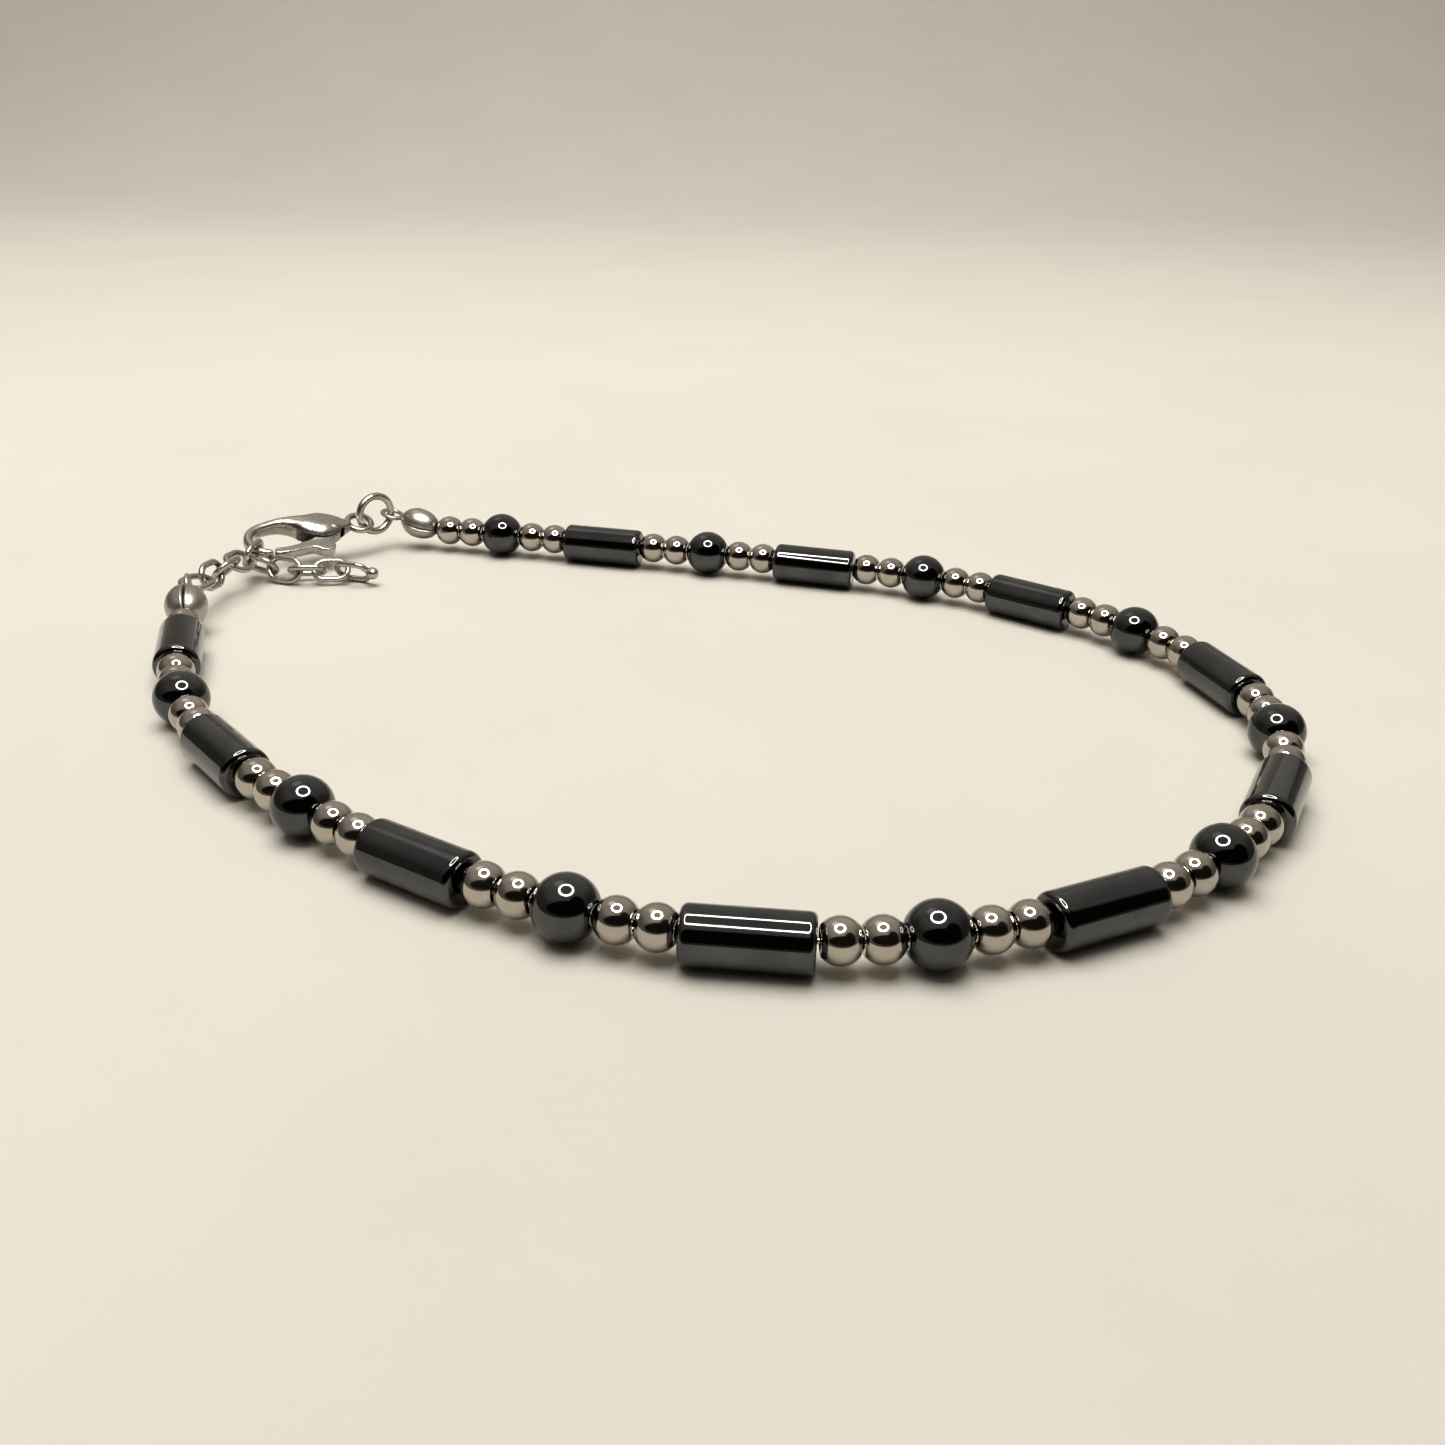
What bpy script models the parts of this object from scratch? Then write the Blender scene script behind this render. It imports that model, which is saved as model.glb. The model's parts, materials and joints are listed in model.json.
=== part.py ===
"""Beaded anklet, lying closed on a flat surface.

Dark tube and round beads are strung on a wire, with two small round spacers beside each of them. A clamshell
calotte holds each end of the string. A lobster clasp on a jump ring closes the loop: its claw hooks a link of
the extender chain that starts at the left calotte, and the rest of that chain lies loose in front of the clasp.

Lengths are in metres. The string runs from the left calotte round the near side to the right calotte.
"""

import math

import bmesh
import bpy
import numpy as np
from mathutils import Matrix, Vector

MM = 0.001

# Beads, spacers and the wire that carries them
ROUND_BEAD_DIAMETER = 4.0 * MM
ROUND_BEAD_LENGTH = 3.56 * MM
TUBE_BEAD_DIAMETER = 3.5 * MM
TUBE_BEAD_LENGTH = 7.28 * MM
TUBE_BEAD_EDGE = 0.35 * MM
BEAD_HOLE_DIAMETER = 1.1 * MM
SPACER_DIAMETER = 2.7 * MM
SPACER_LENGTH = 2.12 * MM
SPACER_HOLE_DIAMETER = 0.9 * MM
BEAD_GAP = 0.16 * MM
WIRE_DIAMETER = 0.4 * MM
UNIT_COUNT = 10
UNIT = ("tube", "spacer", "spacer", "round", "spacer", "spacer")

# Calottes: hollow shells round the crimps at the string's ends, each with a loop
CALOTTE_LENGTH = 4.0 * MM
CALOTTE_DIAMETER = 3.6 * MM
CALOTTE_WALL = 0.35 * MM
CALOTTE_HOLE_DIAMETER = 0.9 * MM
CALOTTE_LOOP_DIAMETER = 1.9 * MM
CALOTTE_LOOP_WIRE = 0.4 * MM
CALOTTE_LOOP_SEAT = 0.4 * MM
CALOTTE_RISE = math.radians(14.0)
CRIMP_DIAMETER = 1.4 * MM
CRIMP_LENGTH = 1.2 * MM

# Jump ring and chain links, measured at the middle of their wire
JUMP_RING_DIAMETER = 3.4 * MM
JUMP_RING_WIRE = 0.7 * MM
JUMP_RING_LIFT = 0.5 * MM
JUMP_RING_SLACK = 0.12 * MM
LINK_LENGTH = 3.0 * MM
LINK_WIDTH = 2.0 * MM
LINK_WIRE = 0.48 * MM
METAL_GAP = 0.15 * MM
FIRST_LINK_PULL = 0.3

# How far apart the calottes' loops lie, as a share of the chain and clasp between them laid out straight
CLOSING_SHARE = 0.97

# Lobster clasp
CLASP_LENGTH = 13.0 * MM
CLASP_WIDTH = 4.8 * MM
CLASP_THICKNESS = 2.5 * MM
CLASP_EYE_DIAMETER = 2.2 * MM
CLASP_EYE_WIRE = 0.6 * MM
CLASP_TILT = math.radians(24.0)
CLASP_RISE = math.radians(1.5)
LEVER_THICKNESS = 0.95 * MM
LEVER_SIDE_GAP = 0.14 * MM
LEVER_EYE_DIAMETER = 1.4 * MM
RIVET_DIAMETER = 0.44 * MM
RIVET_GAP = 0.1 * MM
SLOT_END_GAP = 0.25 * MM

# How the hooked link lies on the claw's nose: its turn from the clasp's own heading, and its rise
CATCH_TURN = math.radians(37.0)
CATCH_RISE = math.radians(3.0)

# Claw sections from the neck round to the hook's tip. Along is a share of CLASP_LENGTH from the nose, across and
# wide are shares of CLASP_WIDTH, thick is a share of CLASP_THICKNESS.
CLAW_SECTIONS = (
    # along, across, wide, thick
    (0.816, 0.00, 0.22, 0.25),
    (0.768, 0.01, 0.34, 0.52),
    (0.688, 0.04, 0.60, 0.84),
    (0.592, 0.08, 0.76, 1.00),
    (0.504, 0.18, 0.62, 1.00),
    (0.424, 0.33, 0.38, 0.84),
    (0.328, 0.43, 0.24, 0.68),
    (0.224, 0.44, 0.20, 0.58),
    (0.114, 0.38, 0.19, 0.52),
    (0.054, 0.20, 0.18, 0.48),
    (0.050, -0.03, 0.18, 0.48),
    (0.086, -0.19, 0.17, 0.46),
    (0.138, -0.27, 0.14, 0.40),
)
CATCH_SECTION = 10.3

# Lever outline, seen along the rivet, from the front end along the outer edge and back along the inner edge.
# The eye round the rivet is added between the two edges.
LEVER_OUTER_EDGE = (
    # along, across
    (0.157, -0.36),
    (0.290, -0.42),
    (0.440, -0.43),
    (0.490, -0.60),
    (0.560, -0.62),
    (0.590, -0.52),
    (0.584, -0.36),
)
LEVER_INNER_EDGE = (
    (0.570, -0.07),
    (0.470, -0.20),
    (0.320, -0.26),
    (0.169, -0.21),
)
RIVET_PLACE = (0.656, -0.10)
SLOT_FRONT = 0.40
SLOT_BACK_EDGE = 0.10

# The string's course on the surface from the left calotte's hole to the right calotte's, chosen by hand
STRING_COURSE = (
    (-43.5, 9.0),
    (-38.5, -6.0),
    (-28.5, -19.0),
    (-16.0, -28.5),
    (-1.0, -34.5),
    (14.5, -33.5),
    (28.0, -26.5),
    (37.0, -14.0),
    (38.5, 1.0),
    (31.0, 14.5),
    (18.0, 23.5),
    (3.0, 28.0),
    (-12.5, 31.5),
    (-28.0, 34.5),
)

# Roll about its own length of each chain link between the left calotte and the clasp, in degrees
SPAN_LINK_ROLLS = (12.0, 77.0, 134.0, 213.0)

# The loose end of the chain. Its first link hangs on the lower side of the hooked link, this far behind that
# link's middle, and leans back from upright. The others have a heading on the surface and a roll, in degrees, and
# lie this much slacker than taut, in millimetres.
TAIL_FIRST_HEADING = math.radians(-14.0)
TAIL_FIRST_SEAT = -0.27 * MM
TAIL_FIRST_LEAN = math.radians(36.0)
TAIL_LINKS = (
    # heading, roll, slack
    (-14.0, 60.0, 0.0),
    (8.0, -34.0, 0.3),
    (8.0, 37.0, 0.3),
    (-12.0, -57.0, 0.3),
)
TAIL_HEIGHT = 1.15 * MM
TAIL_DROP_DIAMETER = 1.1 * MM

ROUND_SIDES = 12
SPACER_BEVEL_RESOLUTION = 3
WIRE_BEVEL_RESOLUTION = 1
RING_SIDES = 14
CLAW_SIDES = 10
BORE_SIDES = 12
CURVE_SAMPLES = 1200

DARK_STONE = ("dark stone", (0.045, 0.045, 0.048, 1.0), 0.12, 0.75)
SILVER_PLATE = ("silver plate", (0.62, 0.59, 0.54, 1.0), 0.16, 1.0)
STEEL = ("steel", (0.42, 0.40, 0.37, 1.0), 0.22, 1.0)


def clear_scene():
    for thing in list(bpy.data.objects):
        bpy.data.objects.remove(thing, do_unlink=True)


def material_of(finish):
    name, colour, roughness, metallic = finish
    found = bpy.data.materials.get(name)
    if found:
        return found
    made = bpy.data.materials.new(name)
    made.use_nodes = True
    shader = made.node_tree.nodes["Principled BSDF"]
    shader.inputs["Base Color"].default_value = colour
    shader.inputs["Roughness"].default_value = roughness
    shader.inputs["Metallic"].default_value = metallic
    return made


def add_object(name, data, place, finish):
    """Links an object for a mesh or curve; copies of a piece share their data."""
    if not data.materials:
        data.materials.append(material_of(finish))
    thing = bpy.data.objects.new(name, data)
    thing.matrix_world = place
    bpy.context.scene.collection.objects.link(thing)
    return thing


def mesh_from(shape, name):
    """Turns a bmesh into a smooth-shaded mesh with its faces pointing out."""
    bmesh.ops.recalc_face_normals(shape, faces=shape.faces)
    mesh = bpy.data.meshes.new(name)
    shape.to_mesh(mesh)
    shape.free()
    mesh.shade_smooth()
    mesh.set_sharp_from_angle(angle=math.radians(40.0))
    return mesh


def upright_frame(origin, heading, roll=0.0):
    """Local +X lies along the heading on the surface, and the piece is rolled about it."""
    turn = Matrix.Rotation(heading, 4, "Z") @ Matrix.Rotation(roll, 4, "X")
    return Matrix.Translation(origin) @ turn


def aimed_frame(start, end, roll=0.0):
    """Frame halfway between two points, with local +X from one to the other."""
    along = (end - start).normalized()
    side = Vector((0.0, 0.0, 1.0)).cross(along).normalized()
    up = along.cross(side)
    turn = Matrix((along, side, up)).transposed().to_4x4()
    return Matrix.Translation((start + end) / 2.0) @ turn @ Matrix.Rotation(roll, 4, "X")


def smooth_curve(points, samples):
    """Samples a natural cubic spline through points of any dimension."""
    points = np.asarray(points, dtype=float)
    steps = np.linalg.norm(np.diff(points, axis=0), axis=1)
    knots = np.concatenate(([0.0], np.cumsum(steps)))
    count = len(points)
    system = np.eye(count)
    bends = np.zeros_like(points)
    for i in range(1, count - 1):
        system[i, i - 1:i + 2] = steps[i - 1], 2.0 * (steps[i - 1] + steps[i]), steps[i]
        after = (points[i + 1] - points[i]) / steps[i]
        before = (points[i] - points[i - 1]) / steps[i - 1]
        bends[i] = 6.0 * (after - before)
    second = np.linalg.solve(system, bends)
    places = np.linspace(0.0, knots[-1], samples)
    k = np.clip(np.searchsorted(knots, places, side="right") - 1, 0, count - 2)
    step = steps[k][:, None]
    b = (places - knots[k])[:, None] / step
    a = 1.0 - b
    bent = (a ** 3 - a) * second[k] + (b ** 3 - b) * second[k + 1]
    return a * points[k] + b * points[k + 1] + bent * step ** 2 / 6.0


class Course:
    """A smooth course on the surface, read by the length along it."""

    def __init__(self, points):
        self.places = smooth_curve(points, CURVE_SAMPLES)
        steps = np.linalg.norm(np.diff(self.places, axis=0), axis=1)
        self.lengths = np.concatenate(([0.0], np.cumsum(steps)))
        self.length = self.lengths[-1]

    def at(self, length, height):
        x = np.interp(length, self.lengths, self.places[:, 0])
        y = np.interp(length, self.lengths, self.places[:, 1])
        return Vector((x, y, height))


def scaled_course(factor, spread):
    """The chosen course scaled about the clasp's gap, with its two ends moved only apart, by the spread."""
    chosen = np.array(STRING_COURSE) * MM
    middle = (chosen[0] + chosen[-1]) / 2.0
    across = chosen[-1] - chosen[0]
    apart = across / np.linalg.norm(across) * spread / 2.0
    points = middle + factor * (chosen - middle)
    share = np.linspace(0.0, 1.0, len(points))[:, None]
    points = points + (1.0 - share) * (chosen[0] - apart - points[0]) + share * (chosen[-1] + apart - points[-1])
    return Course(points)


def course_of_length(length, spread):
    """Scales the chosen course until the strung beads just fill it."""
    low, high = 0.4, 2.5
    for _ in range(40):
        factor = (low + high) / 2.0
        if scaled_course(factor, spread).length < length:
            low = factor
        else:
            high = factor
    return scaled_course(high, spread)


def closing_course(length):
    """Parts the course's ends until chain and clasp span their share of their own length between the loops."""
    wanted = CLOSING_SHARE * (span_length() + (clasp_end() - span_seat()).xy.length)
    spread = 0.0
    for _ in range(8):
        course = course_of_length(length, spread)
        left_loop, right_loop = calotte_loops(course)
        spread += wanted - (right_loop - left_loop).xy.length
    return course


def strung_beads():
    """Kind, start and end along the string of every bead, from the left calotte."""
    lengths = {"tube": TUBE_BEAD_LENGTH, "round": ROUND_BEAD_LENGTH, "spacer": SPACER_LENGTH}
    beads = []
    start = BEAD_GAP
    for kind in ("spacer",) + UNIT * UNIT_COUNT:
        end = start + lengths[kind]
        beads.append((kind, start, end))
        start = end + BEAD_GAP
    return beads, start


def string_height():
    """The wire's height: the largest beads lie on the surface and carry it."""
    facet = math.cos(math.pi / ROUND_SIDES)
    play = bead_play()
    tube_need = TUBE_BEAD_DIAMETER / 2.0 * facet - play
    return max(ROUND_BEAD_DIAMETER / 2.0 * facet, tube_need, CALOTTE_DIAMETER / 2.0, SPACER_DIAMETER / 2.0)


def bead_play():
    """How far a drilled bead can drop on the wire before it hangs on it."""
    facet = math.cos(math.pi / ROUND_SIDES)
    return BEAD_HOLE_DIAMETER / 2.0 * facet - WIRE_DIAMETER / 2.0 - METAL_GAP / 2.0


def turned_bead(name, outline):
    """Spins a closed outline of (along, radius) round local X, with a facet at the bottom."""
    shape = bmesh.new()
    first = -math.pi / 2.0 + math.pi / ROUND_SIDES
    ring = [shape.verts.new((x, r * math.cos(first), r * math.sin(first))) for x, r in outline]
    for a, b in zip(ring, ring[1:] + ring[:1]):
        shape.edges.new((a, b))
    bmesh.ops.spin(shape, geom=shape.verts[:] + shape.edges[:], cent=(0.0, 0.0, 0.0), axis=(1.0, 0.0, 0.0),
                   angle=2.0 * math.pi, steps=ROUND_SIDES, use_merge=True)
    return mesh_from(shape, name)


def round_bead_mesh():
    hole = BEAD_HOLE_DIAMETER / 2.0
    half = ROUND_BEAD_LENGTH / 2.0
    radius = ROUND_BEAD_DIAMETER / 2.0
    rim = hole + 0.15 * (radius - hole)
    belly = half / math.sqrt(1.0 - (rim / radius) ** 2)
    reach = math.acos(-half / belly)
    turns = [reach * (1.0 - 2.0 * i / 6.0) + math.pi * i / 6.0 for i in range(7)]
    outline = [(belly * math.cos(turn), radius * math.sin(turn)) for turn in turns]
    return turned_bead("round bead", outline + [(half, hole), (-half, hole)])


def tube_bead_mesh():
    hole = BEAD_HOLE_DIAMETER / 2.0
    half = TUBE_BEAD_LENGTH / 2.0
    radius = TUBE_BEAD_DIAMETER / 2.0
    edge = TUBE_BEAD_EDGE
    outline = [(-half, radius - edge), (-half + edge, radius), (half - edge, radius), (half, radius - edge)]
    return turned_bead("tube bead", outline + [(half, hole), (-half, hole)])


def add_beads(course, beads):
    height = string_height()
    facet = math.cos(math.pi / ROUND_SIDES)
    meshes = {"round": round_bead_mesh(), "tube": tube_bead_mesh()}
    rest = {"round": ROUND_BEAD_DIAMETER / 2.0 * facet, "tube": TUBE_BEAD_DIAMETER / 2.0 * facet}
    number = {"round": 0, "tube": 0}
    for kind, start, end in beads:
        if kind == "spacer":
            continue
        number[kind] += 1
        axis_height = max(rest[kind], height - bead_play())
        place = aimed_frame(course.at(start, axis_height), course.at(end, axis_height))
        add_object(f"{kind}_bead_{number[kind]:02d}", meshes[kind], place, DARK_STONE)


def swept_wire(name, points, radii, resolution, closed):
    """A curve with a round bevel through the points, its radius given at each."""
    curve = bpy.data.curves.new(name, "CURVE")
    curve.dimensions = "3D"
    curve.bevel_depth = 1.0
    curve.bevel_resolution = resolution
    curve.use_fill_caps = not closed
    spline = curve.splines.new("POLY")
    spline.points.add(len(points) - 1)
    for target, point, radius in zip(spline.points, points, radii):
        target.co = (*point, 1.0)
        target.radius = radius
    spline.use_cyclic_u = closed
    spline.use_smooth = True
    return curve


def spacer_stations(start, end):
    """Points and radii along one spacer, with the wire just outside it at both ends."""
    middle = (start + end) / 2.0
    along = (end - start).normalized()
    half = SPACER_LENGTH / 2.0
    hole = SPACER_HOLE_DIAMETER / 2.0
    radius = SPACER_DIAMETER / 2.0
    belly = half / math.sqrt(1.0 - (hole / radius) ** 2)
    step_out = BEAD_GAP / 6.0
    stations = [(middle - along * (half + step_out), WIRE_DIAMETER / 2.0)]
    for share in (-1.0, -0.62, 0.0, 0.62, 1.0):
        x = share * half
        stations.append((middle + along * x, radius * math.sqrt(1.0 - (x / belly) ** 2)))
    stations.append((middle + along * (half + step_out), WIRE_DIAMETER / 2.0))
    return stations


def crimp_stations(end, outward):
    """The crimp inside a calotte, from the string's end point outwards."""
    wire = WIRE_DIAMETER / 2.0
    near = (CALOTTE_LENGTH - CRIMP_LENGTH) / 2.0
    far = near + CRIMP_LENGTH
    step_out = BEAD_GAP / 6.0
    reach = ((near - step_out, wire), (near, CRIMP_DIAMETER / 2.0), (far, CRIMP_DIAMETER / 2.0))
    return [(end + outward * x, radius) for x, radius in reach]


def add_string(course, beads):
    """The beading wire with its spacers and its two crimps, as one solid."""
    height = string_height()
    start, start_out, end, end_out = string_ends(course)
    stations = crimp_stations(start, start_out)[::-1]
    for kind, a, b in beads:
        if kind == "spacer":
            stations += spacer_stations(course.at(a, height), course.at(b, height))
    stations += crimp_stations(end, end_out)
    points, radii = zip(*stations)
    curve = swept_wire("bead string", points, radii, SPACER_BEVEL_RESOLUTION, closed=False)
    add_object("bead_string", curve, Matrix.Identity(4), SILVER_PLATE)


def string_ends(course):
    """The string's two end points at the calottes' holes, with the directions that point off its ends."""
    height = string_height()
    short = CALOTTE_LENGTH / 4.0
    start = course.at(0.0, height)
    end = course.at(course.length, height)
    start_out = raised(start - course.at(short, height))
    end_out = raised(end - course.at(course.length - short, height))
    return start, start_out, end, end_out


def raised(level):
    """A level direction turned up by the calottes' rise."""
    return level.normalized() * math.cos(CALOTTE_RISE) + Vector((0.0, 0.0, math.sin(CALOTTE_RISE)))


def calotte_loop_reach():
    """From a calotte's hole to the centre of its loop."""
    return CALOTTE_LENGTH + (CALOTTE_LOOP_DIAMETER + CALOTTE_LOOP_WIRE) / 2.0 - CALOTTE_LOOP_SEAT


def calotte_loops(course):
    """The middles of the two calottes' loops."""
    start, start_out, end, end_out = string_ends(course)
    return start + start_out * calotte_loop_reach(), end + end_out * calotte_loop_reach()


def calotte_mesh():
    """An egg-shaped shell, open at its hole at x = 0 and closed at its loop end."""
    shape = bmesh.new()
    hole = CALOTTE_HOLE_DIAMETER / 2.0
    outer = CALOTTE_DIAMETER / 2.0
    inner = outer - CALOTTE_WALL
    back_wall = CALOTTE_LOOP_SEAT + CALOTTE_WALL
    outline = []
    for front, back, radius in ((0.0, CALOTTE_LENGTH, outer), (CALOTTE_WALL, CALOTTE_LENGTH - back_wall, inner)):
        half = (back - front) / 2.0
        first = math.asin(hole / radius)
        steps = 6
        arc = []
        for i in range(steps + 1):
            turn = first + (math.pi - first) * i / steps
            arc.append((front + half - half * math.cos(turn), 0.0 if i == steps else radius * math.sin(turn)))
        outline.append(arc)
    path = outline[1][::-1] + outline[0]
    ring = [shape.verts.new((x, r, 0.0)) for x, r in path]
    for a, b in zip(ring, ring[1:]):
        if (a.co - b.co).length > 0.0 and not (a.co.y == 0.0 and b.co.y == 0.0):
            shape.edges.new((a, b))
    bmesh.ops.spin(shape, geom=shape.verts[:] + shape.edges[:], cent=(0.0, 0.0, 0.0), axis=(1.0, 0.0, 0.0),
                   angle=2.0 * math.pi, steps=ROUND_SIDES, use_merge=True)
    bmesh.ops.remove_doubles(shape, verts=shape.verts, dist=0.001 * MM)
    return mesh_from(shape, "calotte")


def ring_points(length, width, sides):
    """Points of a ring in local XY: two half circles joined by straight sides."""
    radius = width / 2.0
    shift = max(length - width, 0.0) / 2.0
    half = sides // 2
    points = []
    for side in (1.0, -1.0):
        for i in range(half):
            spread = math.pi * (i / (half - 1) if shift else (i + 0.5) / half)
            turn = spread - math.pi / 2.0
            points.append(Vector((side * (shift + radius * math.cos(turn)), side * radius * math.sin(turn), 0.0)))
    return points


def ring_curve(name, length, width, wire):
    points = ring_points(length, width, RING_SIDES)
    return swept_wire(name, points, [wire / 2.0] * len(points), WIRE_BEVEL_RESOLUTION, closed=True)


def helper(name, data, place):
    """A tool for a Boolean, kept out of the built pieces."""
    thing = bpy.data.objects.new(name, data)
    thing.matrix_world = place
    thing.hide_render = True
    thing.display_type = "WIRE"
    bpy.context.scene.collection.objects.link(thing)
    return thing


def combine(target, tool, operation):
    modifier = target.modifiers.new(tool.name, "BOOLEAN")
    modifier.operation = operation
    modifier.object = tool
    modifier.solver = "EXACT"


def solid_ring(name, length, width, wire):
    """A closed ring as a mesh, for use in a Boolean."""
    curve = ring_curve(name, length, width, wire)
    source = bpy.data.objects.new(name, curve)
    bpy.context.scene.collection.objects.link(source)
    mesh = bpy.data.meshes.new_from_object(source)
    bpy.data.objects.remove(source)
    return mesh


def calotte_loop_mesh():
    return solid_ring("calotte loop", CALOTTE_LOOP_DIAMETER, CALOTTE_LOOP_DIAMETER, CALOTTE_LOOP_WIRE)


def add_calotte(name, hole, outward, loop_roll):
    place = aimed_frame(hole, hole + outward * CALOTTE_LENGTH)
    place.translation = hole
    body = add_object(name, calotte_mesh(), place, STEEL)
    loop_place = place @ Matrix.Translation((calotte_loop_reach(), 0.0, 0.0)) @ Matrix.Rotation(loop_roll, 4, "X")
    loop = helper(name + " loop", calotte_loop_mesh(), loop_place)
    combine(body, loop, "UNION")


def claw_sections():
    """The claw's sections in metres, from the neck to the tip of the hook, at their true places."""
    scale = np.array((CLASP_LENGTH, CLASP_WIDTH, CLASP_WIDTH, CLASP_THICKNESS))
    return np.array(CLAW_SECTIONS) * scale


def claw_mesh():
    """Lofts oval rings along the claw's middle line."""
    chosen = claw_sections()
    sections = smooth_curve(chosen, 2 * len(chosen) - 1)
    heading = np.gradient(sections[:, :2], axis=0)
    heading /= np.linalg.norm(heading, axis=1)[:, None]
    shape = bmesh.new()
    rings = []
    for (x, y, wide, thick), (cx, cy) in zip(sections, heading):
        ring = []
        for i in range(CLAW_SIDES):
            turn = 2.0 * math.pi * (i + 0.5) / CLAW_SIDES
            out = wide / 2.0 * math.cos(turn)
            ring.append(shape.verts.new((x - cy * out, y + cx * out, thick / 2.0 * math.sin(turn))))
        rings.append(ring)
    for first, second in zip(rings, rings[1:]):
        for i in range(CLAW_SIDES):
            j = (i + 1) % CLAW_SIDES
            shape.faces.new((first[i], first[j], second[j], second[i]))
    shape.faces.new(rings[0])
    shape.faces.new(rings[-1][::-1])
    return mesh_from(shape, "claw")


def clasp_lean():
    """How the clasp rests: its back raised, and its tail a little higher than its nose."""
    return Matrix.Rotation(-CLASP_RISE, 4, "Y") @ Matrix.Rotation(CLASP_TILT, 4, "X")


def catch_place():
    """Where the hooked link crosses the claw: the claw's middle, its heading and its half width there."""
    chosen = claw_sections()
    before = int(CATCH_SECTION)
    share = CATCH_SECTION - before
    x, y, wide, thick = (1.0 - share) * chosen[before] + share * chosen[before + 1]
    heading = Vector((*(chosen[before + 1] - chosen[before])[:2], 0.0)).normalized()
    return Vector((x, y, 0.0)), heading, wide / 2.0


def catch_frame():
    """Centre, length, width and normal directions of the hooked link, in the clasp's frame before it is turned."""
    middle, heading, half_width = catch_place()
    lean = clasp_lean()
    heading = lean @ heading
    flat = math.cos(CATCH_RISE)
    along = Vector((flat * math.cos(CATCH_TURN), flat * math.sin(CATCH_TURN), math.sin(CATCH_RISE)))
    skew = along.dot(heading)
    normal = (heading - along * skew).normalized()
    inner_end = half_width / math.sqrt(1.0 - skew ** 2) + METAL_GAP + LINK_WIRE / 2.0
    centre = lean @ middle - along * (LINK_LENGTH / 2.0 - inner_end)
    return centre, along, normal.cross(along), normal


def span_seat():
    """Where the last link before the hooked one passes through it."""
    centre, along, _, _ = catch_frame()
    return centre - along * (LINK_LENGTH / 2.0 - LINK_WIRE - METAL_GAP)


def clasp_eye_place():
    return Vector((CLASP_LENGTH - (CLASP_EYE_DIAMETER + CLASP_EYE_WIRE) / 2.0, 0.0, 0.0))


def ring_reach(other, other_wire):
    """Level distance from the lifted jump ring's centre to that of a ring linked with it."""
    taut = (JUMP_RING_DIAMETER + other - JUMP_RING_WIRE - other_wire) / 2.0 - METAL_GAP
    return math.sqrt(taut ** 2 - JUMP_RING_LIFT ** 2) - JUMP_RING_SLACK


def rivet_place():
    return Vector((RIVET_PLACE[0] * CLASP_LENGTH, RIVET_PLACE[1] * CLASP_WIDTH, 0.0))


def slot_mesh():
    """The lever's slot: a block from the mouth to just behind the lever's eye, open at the lever's side."""
    pivot = rivet_place()
    half = LEVER_THICKNESS / 2.0 + LEVER_SIDE_GAP
    low = Vector((SLOT_FRONT * CLASP_LENGTH, -CLASP_WIDTH, -half))
    high = Vector((pivot.x + LEVER_EYE_DIAMETER / 2.0 + SLOT_END_GAP, SLOT_BACK_EDGE * CLASP_WIDTH, half))
    shape = bmesh.new()
    bmesh.ops.create_cube(shape, size=1.0)
    bmesh.ops.scale(shape, vec=high - low, verts=shape.verts)
    bmesh.ops.translate(shape, vec=(low + high) / 2.0, verts=shape.verts)
    return mesh_from(shape, "lever slot")


def rivet_mesh(radius, length, name):
    shape = bmesh.new()
    bmesh.ops.create_cone(shape, cap_ends=True, segments=BORE_SIDES, radius1=radius, radius2=radius, depth=length)
    return mesh_from(shape, name)


def add_clasp_body(place):
    claw = add_object("clasp_body", claw_mesh(), place, STEEL)
    eye_place = place @ Matrix.Translation(clasp_eye_place())
    eye_mesh = solid_ring("clasp eye", CLASP_EYE_DIAMETER, CLASP_EYE_DIAMETER, CLASP_EYE_WIRE)
    eye = helper("clasp eye", eye_mesh, eye_place)
    slot = helper("lever slot", slot_mesh(), place)
    rivet_length = LEVER_THICKNESS + 2.0 * LEVER_SIDE_GAP + CLASP_THICKNESS / 6.0
    rivet = rivet_mesh(RIVET_DIAMETER / 2.0, rivet_length, "rivet")
    rivet_tool = helper("rivet", rivet, place @ Matrix.Translation(rivet_place()))
    combine(claw, eye, "UNION")
    combine(claw, slot, "DIFFERENCE")
    combine(claw, rivet_tool, "UNION")


def lever_mesh():
    """The lever's outline, drawn round the rivet as its origin, extruded to its thickness."""
    pivot = rivet_place()
    scale = Vector((CLASP_LENGTH, CLASP_WIDTH))
    radius = LEVER_EYE_DIAMETER / 2.0
    outline = [Vector((a * scale.x, b * scale.y)) - pivot.xy for a, b in LEVER_OUTER_EDGE]
    for degrees in (-75.0, -35.0, 5.0, 45.0, 85.0, 120.0):
        turn = math.radians(degrees)
        outline.append(Vector((radius * math.cos(turn), radius * math.sin(turn))))
    outline += [Vector((a * scale.x, b * scale.y)) - pivot.xy for a, b in LEVER_INNER_EDGE]
    shape = bmesh.new()
    half = LEVER_THICKNESS / 2.0
    face = shape.faces.new([shape.verts.new((p.x, p.y, -half)) for p in outline])
    raised = bmesh.ops.extrude_face_region(shape, geom=[face])["geom"]
    moved = [v for v in raised if isinstance(v, bmesh.types.BMVert)]
    bmesh.ops.translate(shape, vec=(0.0, 0.0, LEVER_THICKNESS), verts=moved)
    return mesh_from(shape, "lever")


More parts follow.
